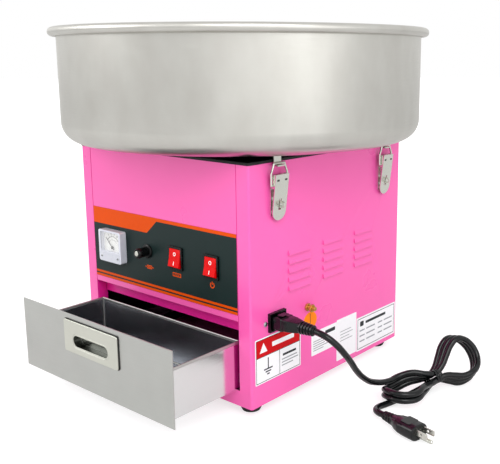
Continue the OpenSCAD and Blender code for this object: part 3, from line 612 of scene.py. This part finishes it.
# The drawer: a folded stainless box behind a brushed front plate, with a bright pull plate let into it.
# The box is bright sheet straight from the coil, so it mirrors what is around it.
def brushed(name, dark, light, stretch, smooth, rough, depth=0.05):
    """Stainless sheet with its grain along one axis: stretch is the grain's pitch in mm along X, Y and Z,
    and depth is that of its cuts."""
    finish = new_finish(name)
    place = add(finish, "TexCoord").outputs["Object"]
    along = add(finish, "Mapping", Vector=place, Scale=[1 / (pitch * MM) for pitch in stretch])
    grain = add(finish, "TexNoise", Vector=along, Scale=1, Detail=3, Roughness=0.6)
    smudge = add(finish, "TexNoise", Vector=place, Scale=1 / (45 * MM), Detail=3)
    shine = add(finish, "MapRange", values=(grain, 0.3, 0.7, smooth, rough))
    cuts = add(finish, "Bump", Strength=0.1, Distance=depth * MM, Height=grain)
    tone = add(finish, "MixRGB", Fac=smudge, Color1=linear(dark), Color2=linear(light))
    surface = add(finish, "BsdfPrincipled", Base_Color=tone, Metallic=1, Roughness=shine, Normal=cuts)
    add(finish, "OutputMaterial", Surface=surface)
    return finish


# Brushed plate: a fine grain from side to side, which blurs reflections to an even grey.
plate_steel = brushed("brushed_stainless_plate", "#BCBDB9", "#C8C9C5", (60, 60, 1.1), 0.36, 0.46)
# Bright coil sheet: a soft mirror with a faint rolling grain, and the same sheet darker inside the tray as
# painted shade.
coil_steel = brushed("bright_coil_steel", "#E8E9E8", "#F2F3F2", (1.6, 70, 1.6), 0.12, 0.18)
tray_inside_shade_steel = brushed("coil_steel_painted_shade", "#93969C", "#A6A9AE", (1.6, 70, 1.6), 0.18, 0.26)
plate_y = -274
box_x = 137.5
box_back = -156.5
box_low = 33
box_top = 95
wall_t = 1.2


def in_tray(face):
    """1 where a face of the drawer's box looks into it, and takes the darker steel that paints its shade."""
    middle = face.calc_center_median() / MM
    between = abs(middle.x) < box_x - wall_t / 2 and middle.y < box_back - wall_t / 2
    return int(between and box_low + wall_t / 2 < middle.z < box_top - 0.1)


copied("drawer_plate", "drawer_front", plate_steel, "drawer", "drawer_steel", 0.3)
copied("drawer_tray", "drawer_box", coil_steel, "drawer", "drawer_steel", 0.3, linings=(tray_inside_shade_steel,),
       lined=in_tray)


def bar(length, width, height, corner=0.5):
    """A bar along X with round edges along it, about the origin."""
    return put(plate(rounded(width, height, corner, 3), length), to_right, -length / 2)


# The tray's hem, folded over along the top of its walls, and the weld beads in its corners.
hem_w = 2.2
hem_h = 4
hem_z = box_top - hem_h / 2 + 0.6
hem_in = 0.7
bead_in = 1.8
bead_short = 4
plate_t = 1.5
tray_y = (plate_y + plate_t + box_back) / 2
tray_l = box_back - plate_y - plate_t
across = turn(90, "Z")
hems = [put(bar(tray_l, hem_w, hem_h, 1), across, side * (box_x - hem_in), tray_y, hem_z) for side in (-1, 1)]
hems.append(put(bar(2 * box_x, hem_w, hem_h, 1), upright, 0, box_back - hem_in, hem_z))
beads = [put(bar(box_top - box_low - bead_short, 1.8, 1.8, 0.7), turn(90, "Y"), side * (box_x - bead_in),
             box_back - bead_in, (box_low + box_top) / 2) for side in (-1, 1)]
bead_z = box_low + bead_in
beads.append(put(bar(2 * box_x - bead_short, 1.6, 1.6, 0.7), upright, 0, box_back - bead_in, bead_z))
beads += [put(bar(tray_l - bead_short, 1.6, 1.6, 0.7), across, side * (box_x - bead_in), tray_y, bead_z)
          for side in (-1, 1)]
fit("drawer_hem", joined(*hems, *beads), plate_steel, "drawer", "drawer_steel", edge=0.2)

# Polished pull: brighter than the plate around it, with only a trace of grain. A thin black rubber outline
# around it paints the shadow under its edge, its finger cup is drawn in with a rolled lip, and darker steel
# in the cup paints its shade.
pull_steel = brushed("polished_pull_plate", "#D2D3C8", "#DADBD0", (40, 40, 2.5), 0.32, 0.38, 0.01)
cup_shade_steel = brushed("pull_cup_painted_shade", "#7B7D78", "#8D8F8A", (40, 40, 1.5), 0.2, 0.28, 0.01)
pull_w = 108
pull_h = 42
pull_z = 94
cup_z = 90
cup_w = 74
cup_h = 18


def in_cup(face):
    """1 where a face of the pull lies behind the plate's face, in the finger cup, which takes a darker steel
    as painted shade.
    """
    middle = face.calc_center_median() / MM
    within = abs(middle.x) < cup_w / 2 + 0.5 and abs(middle.z - cup_z) < cup_h / 2 + 0.5
    return int(within and middle.y > plate_y - 2.3)


copied("drawer_pull_plate", "drawer_pull", pull_steel, "drawer", "drawer_steel", 0.7, linings=(cup_shade_steel,),
       lined=in_cup)
cup_lip = put(hoop(cup_w + 0.4, cup_h + 0.4, cup_h / 2 + 0.2, 2, 1.2), to_front, 0, plate_y - 1.2, cup_z)
fit("pull_cup_lip", cup_lip, pull_steel, "drawer", "drawer_steel", edge=0.55)
# A black rubber outline, a little larger than the pull, paints the shadow in the gap under its edge.
pull_shadow_outline = put(hoop(pull_w + 1.2, pull_h + 1.2, 3.2, 4, 1), to_front, 0.3, plate_y, pull_z + 0.3)
fit("pull_shadow_outline", pull_shadow_outline, rubber, "drawer", "rubber")

# Zinc-plated steel for what is bolted inside: grey with pale blue spangles.
zinc = mottled("bright_zinc_plate", "#A2A6A9", "#C0C3C4", 0.28, 0.42, 4, Metallic=1)
copied("drawer_slide_runners", "drawer_runners", zinc, "drawer", "zinc", 0.3)
copied("drawer_slide_guides", "drawer_guides", zinc, "cabinet", "zinc", 0.2)


# The control overlay: a satin polycarbonate film, printed dark green-grey with orange bands and stuck to
# the panel. The print is a thin layer of ink on its face.
overlay_film = mottled("printed_polycarbonate_film", "#132322", "#192A29", 0.36, 0.46, 50, 0.8, 0.06,
                       IOR=1.58, Specular_IOR_Level=0.16)
copied("control_overlay", "panel_overlay", overlay_film, "cabinet", "overlay")


def ink(name, dark, light, gloss):
    """Screen-printed ink or vinyl in one colour, with the slight mottle of a printed layer."""
    return mottled(name, dark, light, gloss, gloss + 0.1, 4, IOR=1.5, Specular_IOR_Level=0.1)


ink_t = 0.06


def bar_print(width, height, thickness=ink_t):
    """A thin printed bar with round ends about the origin."""
    return plate(rounded(width, height, min(width, height) * 0.45, 2), thickness)


def ring_print(outer, inner, first=0, last=360):
    """A thin printed ring or arc about the origin, between two angles in degrees."""
    if last - first == 360:
        return band(circle(outer), circle(inner), ink_t)
    return plate(circle(outer, first, last) + circle(inner, first, last)[::-1], ink_t)


overlay_y = -162.4
band_x = 141
fuse_x = -24.5
heat_x = 32.5
power_x = 98
switch_z = 183.5
fuse_sign_x = -22
sign_z = 161
orange_ink = ink("orange_screen_ink", "#D64800", "#DE4F00", 0.34)
top_band = plate([(-band_x, 208), (-25, 208.5), (-4.5, 226.5), (band_x, 226.5), (band_x, 231),
                  (-band_x, 231)], ink_t)
low_lines = [plate([(-band_x, low), (band_x, low), (band_x, high), (-band_x, high)], ink_t)
             for low, high in ((130.2, 133.6), (135.7, 138.8))]
fuse_sign = [put(hoop(10, 5, 0.5, 1.2, ink_t), upright, fuse_sign_x, sign_z + 1),
             put(bar_print(17, 1.2), upright, fuse_sign_x, sign_z + 1)]
heat_sign = [put(hoop(16, 5.4, 0.5, 1.2, ink_t), upright, heat_x, sign_z)]
heat_sign += [put(bar_print(1.2, 4.2), upright, heat_x + step, sign_z) for step in (-3.6, 0, 3.6)]
power_sign = [put(ring_print(4, 2.6, 120, 420), upright, power_x, sign_z - 1),
              put(bar_print(1.4, 4.4), upright, power_x, sign_z + 1.8)]
overlay_print = joined(top_band, *low_lines, *fuse_sign, *heat_sign, *power_sign)
fit("overlay_print", put(overlay_print, to_front, 0, overlay_y), orange_ink, "cabinet", "overlay")

# The voltmeter: a clear moulded case over a white dial with a printed scale, a black needle on its hub,
# a frosted lower half, and two small screws in its lower corners.
meter_x = -94
meter_z = 180.5
needle_z = 178
dial_y = -166.4
meter_face = -172.4
clear_case = mottled("clear_moulded_polystyrene", "#C9CCD9", "#DFE1EA", 0.1, 0.2, 9, IOR=1.59,
                     Coat_Weight=0.5, Coat_Roughness=0.06)
copied("voltmeter_case", "meter_case", clear_case, "cabinet", "clear", 1.1)
white_card = ink("white_dial_card", "#EDEDEA", "#F6F6F3", 0.5)
copied("voltmeter_dial", "meter_dial", white_card, "cabinet", "white_plastic")
frosted = mottled("frosted_polystyrene", "#C6C8D3", "#D6D8E0", 0.4, 0.55, 3, 0.5, IOR=1.59)
lower_half = put(plate(rounded(42, 13, 2), 0.5), to_front, meter_x, meter_face + 0.1, meter_z - 14.4)
fit("voltmeter_lower_half", lower_half, frosted, "cabinet", "clear", edge=0.2)
# Black screen ink for the dial's scale, also used for the painted shade in the screw slots.
black_ink_and_slot_shade = ink("black_screen_ink_and_slot_shade", "#0B0C0D", "#141517", 0.4)
scale_first = 40
scale_last = 140
number_r = 19.2
scale = [ring_print(15.4, 14.7, scale_first, scale_last), ring_print(11, 10.6, scale_first, scale_last)]
for tick in range(11):
    long_tick = tick % 2 == 0
    mark = put(bar_print(3 if long_tick else 1.8, 0.45), upright, 16.4 if long_tick else 15.8)
    scale.append(put(mark, turn(scale_last - 10 * tick, "Z")))
for value in range(6):
    letters = bpy.data.curves.new("dial_number", "FONT")
    letters.body = str(value * 50)
    letters.size = 2.8 * MM
    letters.align_x = "CENTER"
    letters.align_y = "CENTER"
    number = bpy.data.objects.new("dial_number", letters)
    flat = bpy.data.meshes.new_from_object(number)
    shape = bmesh.new()
    shape.from_mesh(flat)
    angle = math.radians(scale_last - 20 * value)
    scale.append(put(shape, upright, number_r * math.cos(angle), number_r * math.sin(angle), ink_t))
    bpy.data.objects.remove(number)
    bpy.data.curves.remove(letters)
    bpy.data.meshes.remove(flat)
fit("voltmeter_scale", put(joined(*scale), to_front, meter_x, dial_y, needle_z), black_ink_and_slot_shade, "cabinet",
    "black_plastic")
black_abs = mottled("moulded_black_abs", "#050606", "#0B0C0D", 0.22, 0.34, 12, 0.6, 0.08, IOR=1.54,
                    Specular_IOR_Level=0.25)
copied("voltmeter_needle", "meter_needle", black_abs, "needle", "black_plastic")
# Clear window: nearly invisible, with a gloss that lies over the dial.
clear_sheet = new_finish("clear_acrylic_sheet")
surface = add(clear_sheet, "BsdfPrincipled", Base_Color=linear("#FFFFFF"), Roughness=0.05, IOR=1.49,
              Alpha=0.14)
add(clear_sheet, "OutputMaterial", Surface=surface)
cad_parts["meter_window"].material_slots[0].material = clear_sheet


def screw_head(radius, rise):
    """A round screw head, flat side down on XY."""
    return turned([(0, rise * 0.98), (radius * 0.3, rise * 0.98), (radius * 0.66, rise * 0.86),
                   (radius * 0.92, rise * 0.5), (radius, 0), (0, 0)], 28)


meter_screw_x = (meter_x - 17.5, meter_x + 17.5)
meter_screw_z = meter_z - 15
meter_screws = [put(screw_head(1.9, 0.8), to_front, x, meter_face - 0.3, meter_screw_z)
                for x in meter_screw_x]
fit("voltmeter_screws", joined(*meter_screws), zinc, "cabinet", "zinc")


# The fuse holder: a black moulded body with a knurled cap that has a bright metal tip. The fuse, a glass
# tube, is drawn out with the cap.
def knurled(radius, low, high, ridges, depth):
    """A cylinder with ridges along it, about Z."""
    shape = bmesh.new()
    bmesh.ops.create_cone(shape, cap_ends=True, segments=2 * ridges, radius1=radius * MM,
                          radius2=radius * MM, depth=(high - low) * MM)
    bmesh.ops.translate(shape, vec=(0, 0, (low + high) / 2 * MM), verts=shape.verts)
    sides = [face for face in shape.faces if abs(face.normal.z) < 0.5]
    sides.sort(key=lambda face: math.atan2(face.calc_center_median().y, face.calc_center_median().x))
    bmesh.ops.inset_individual(shape, faces=sides[::2], thickness=0.12 * MM, depth=depth * MM)
    return shape


flange = [(4.4, -2), (9.6, -2), (9.6, 1.8), (8.8, 2.6), (7.6, 3), (4.4, 3), (4.4, -2)]
cap_end = [(0, 13), (6.4, 13), (6.8, 13.5), (6.8, 17), (5.8, 18.6), (4.6, 18.9), (4.2, 18.4), (0, 18.4)]
cap_tip = [(0, 18), (3.7, 18), (3.5, 18.9), (2.8, 19.2), (0, 19.25)]
fuse_place = (to_front, fuse_x, overlay_y, switch_z)
flange = put(turned(flange, 40), *fuse_place)
fit("fuse_holder_flange", flange, black_abs, "cabinet", "black_plastic", "fuse_holder")
cap = put(joined(knurled(6.1, 3.3, 13.4, 22, 0.3), turned(cap_end, 40)), *fuse_place)
fit("fuse_cap_knurled", cap, black_abs, "fuse_knob", "black_plastic", "fuse_cap")
fit("fuse_cap_tip", put(turned(cap_tip, 32), *fuse_place), nickel, "fuse_knob", "nickel")
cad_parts["fuse_link"].material_slots[0].material = clear_sheet
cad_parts["fuse_nut"].material_slots[0].material = zinc


# The rocker switches: black bezels with red polycarbonate rockers, marked with a white ring for off and a
# white bar for on. They snap into the panel and stand at off.
red_rocker = mottled("moulded_red_polycarbonate", "#D00407", "#DA080B", 0.24, 0.34, 7, IOR=1.58,
                     Specular_IOR_Level=0.1)
white_ink = ink("white_pad_ink", "#F1F1EE", "#FBFBF8", 0.4)
rocker_y = -166.2
upper_lean = 6
lower_lean = 14
for x, name in ((heat_x, "heat"), (power_x, "power")):
    body = name + "_rocker_body"
    copied(name + "_switch_bezel", name + "_switch", black_abs, "cabinet", "black_plastic", 0.5)
    copied(name + "_switch_rocker", name + "_rocker", red_rocker, body, "red_plastic", 0.6)
    off_ring = put(ring_print(2.5, 1.5), upright, 0, 5.8)
    off_ring = put(off_ring, turn(-upper_lean, "X") @ to_front, x, rocker_y, switch_z)
    on_bar = put(bar_print(1.2, 5), upright, 0, -6.2)
    on_bar = put(on_bar, turn(-lower_lean, "X") @ to_front, x, rocker_y, switch_z)
    fit(name + "_switch_marks", joined(off_ring, on_bar), white_ink, body, "white_plastic")


# The mains inlet and the earth stud: a black moulded socket held by two screws, and a brass stud with
# hexagon nuts for the earth wire.
copied("mains_inlet", "inlet_socket", black_abs, "cabinet", "black_plastic", 0.7)
side_x = 162
rear_y = 163.5
to_rear = turn(-90, "X")
inlet_screws = (inlet_y - 20, inlet_y + 20)
rear_screws = [(x, z) for x in (-150, 150) for z in (50, 270)]
inlet_heads = [put(screw_head(3.4, 1.8), to_right, side_x, y, inlet_z) for y in inlet_screws]
rear_heads = [put(screw_head(4, 2), to_rear, x, rear_y, z) for x, z in rear_screws]
foot_heads = [put(screw_head(5, 2.6), turn(180, "X"), x * foot_at, y * foot_at, 7)
              for x in (-1, 1) for y in (-1, 1)]
fit("screw_heads", joined(*inlet_heads, *rear_heads, *foot_heads), zinc, "cabinet", "zinc", "cabinet_screws")
# Thin black bars on the screw heads paint the shade in their slots, which are not cut.
slot_shadow_t = 0.1
slot_shadows = [put(bar_print(5.4, 0.9, slot_shadow_t), to_right @ turn(35, "Z"), side_x + 1.72, y, inlet_z)
         for y in inlet_screws]
slot_shadows += [put(bar_print(6.4, 1, slot_shadow_t), to_rear @ turn(20, "Z"), x, rear_y + 1.92, z)
          for x, z in rear_screws]
slot_shadows += [put(bar_print(2.9, 0.6, slot_shadow_t), to_front @ turn(30, "Z"), x, meter_face - 1.04, meter_screw_z)
          for x in meter_screw_x]
fit("screw_slot_shadows", joined(*slot_shadows), black_ink_and_slot_shade, "cabinet", "black_plastic")

# Turned brass: warm yellow, with the fine rings of a cut thread on the stud.
brass = new_finish("turned_brass")
place = add(brass, "TexCoord").outputs["Object"]
thread = add(brass, "TexWave", Vector=place, wave_type="BANDS", bands_direction="X", Scale=0.314 / (1 * MM))
cloud = add(brass, "TexNoise", Vector=place, Scale=1 / (3 * MM), Detail=3)
tone = add(brass, "MixRGB", Fac=cloud, Color1=linear("#C79A45"), Color2=linear("#E0BB6C"))
shine = add(brass, "MapRange", values=(cloud, 0.3, 0.7, 0.22, 0.38))
cuts = add(brass, "Bump", Strength=0.5, Distance=0.25 * MM, Height=thread.outputs["Fac"])
surface = add(brass, "BsdfPrincipled", Base_Color=tone, Metallic=1, Roughness=shine, Normal=cuts)
add(brass, "OutputMaterial", Surface=surface)
copied("earth_terminal_stud", "earth_stud", brass, "cabinet", "brass", 0.4)
copied("earth_terminal_nuts", "earth_nuts", brass, "cabinet", "brass", 0.3)


# The stickers on the right side: plain vinyl labels, left blank but for bands, borders, rules and general
# signs, and a round orange one under the earth stud.
def on_side(shape, y, z):
    """Puts a flat shape on the right side panel."""
    return put(shape, to_right, side_x, y, z)


def label(left, right, low, high, corner=1.2, rise=0.1):
    """A thin label on the right side panel, between two places along Y and two heights."""
    shape = plate(rounded(right - left, high - low, corner), rise)
    return on_side(shape, (left + right) / 2, (low + high) / 2)


label_print = 0.16
over_print = 0.2


def rule(left, right, low, high, corner=0.3):
    """A printed bar on a label, between two places along Y and two heights."""
    return label(left, right, low, high, corner, label_print)


def border(left, right, low, high, line):
    """A printed border between two places along Y and two heights."""
    shape = hoop(right - left, high - low, 0.6, line, label_print)
    return on_side(shape, (left + right) / 2, (low + high) / 2)


white_vinyl = ink("white_vinyl_label", "#EAEBEE", "#F4F4F6", 0.3)
red_vinyl = ink("red_vinyl_print", "#C00A14", "#CB111A", 0.3)
dark_print = ink("dark_grey_print", "#2A2D30", "#3A3E41", 0.4)
grey_print = ink("grey_print", "#8A9093", "#9DA2A5", 0.4)
orange_vinyl = ink("orange_vinyl_sticker", "#F47F08", "#FA8912", 0.28)
fit("side_labels", joined(label(-155, -68.5, 41, 100), label(-46, 9.5, 45, 78), label(9.7, 56.5, 20, 80),
                          label(57.5, 158, 18.5, 69)), white_vinyl, "cabinet", "white_plastic")
fit("label_red_band", rule(-153, -70.5, 76, 98, 0.6), red_vinyl, "cabinet", "red_plastic")
warning = on_side(plate([(-7, -6), (7, -6), (0, 6.5)], over_print), -140, 87)
warning = joined(warning, label(-124, -82, 84, 90, 1, over_print))
fit("label_warning_sign", warning, white_vinyl, "cabinet", "white_plastic")
rules = [border(-153.4, -70.1, 42.4, 98.4, 0.8), rule(-153, -70.5, 75.2, 76, 0.1),
         rule(-110.4, -109.6, 43, 76, 0.1), border(60, 155.5, 21, 66.6, 0.9)]
earth_y = -131.5
earth_sign = [rule(earth_y - 0.9, earth_y + 0.9, 58, 72)]
earth_sign += [rule(earth_y - half, earth_y + half, 56.6 - 3.4 * step, 58.4 - 3.4 * step)
               for step, half in enumerate((8, 5.2, 2.4))]
bold = [rule(-104, -78, 65, 68, 0.6), rule(-16, 6, 68, 73, 0.6), rule(80, 132, 56, 60, 0.6),
        rule(66, 75, 54.5, 62, 1.5)]
sticker_line = label(-48.9, -48, 86, 106, 0.3, over_print)
fit("label_rules", joined(*rules, *earth_sign, *bold, sticker_line), dark_print, "cabinet", "black_plastic")
lines = [rule(-106, end, 60 - 4 * step, 61.4 - 4 * step) for step, end in enumerate((-76, -74, -84))]
lines += [rule(-42, end, 63.5 - 3.2 * step, 64.6 - 3.2 * step)
          for step, end in enumerate((-14, -8, -17, -10, -20))]
lines += [rule(18, end, 60 - 4.5 * step, 61 - 4.5 * step) for step, end in enumerate((44, 48, 40, 47))]
lines += [rule(start, start + long, 47 - 8 * step, 49 - 8 * step, 0.4)
          for step in range(3) for start, long in ((65, 13), (82, 22), (112, 12), (128, 22))]
fit("label_lines", joined(*lines), grey_print, "cabinet", "black_plastic")
sticker = turned([(0, 0.12), (0.96, 0.12), (1, 0), (0, 0)], 40)
bmesh.ops.scale(sticker, vec=(14, 12.5, 1), verts=sticker.verts)
fit("earth_sticker", on_side(sticker, -48.5, 96), orange_vinyl, "cabinet", "red_plastic")


# The drive, inside: a cast motor on rubber mounts, its bearings, shaft and rotor, brass slip rings and a
# brown paper-phenolic board that holds the brushes for the heater.
cast_paint = mottled("painted_cast_iron", "#3A4045", "#4A5157", 0.45, 0.55, 20, 2.5, 0.3, IOR=1.5)
phenolic = ink("brown_paper_phenolic", "#4A2A16", "#5E381F", 0.4)
for node, finish in (("motor_housing", cast_paint), ("motor_mounts", rubber), ("motor_bearings", zinc),
                     ("motor_rotor", zinc), ("spindle", zinc), ("slip_rings", brass),
                     ("brush_block", phenolic), ("heater_ring", zinc)):
    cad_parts[node].material_slots[0].material = finish

size = {"cad": [list(corner) for corner in cad_box], "visual": [list(corner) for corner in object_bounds()]}
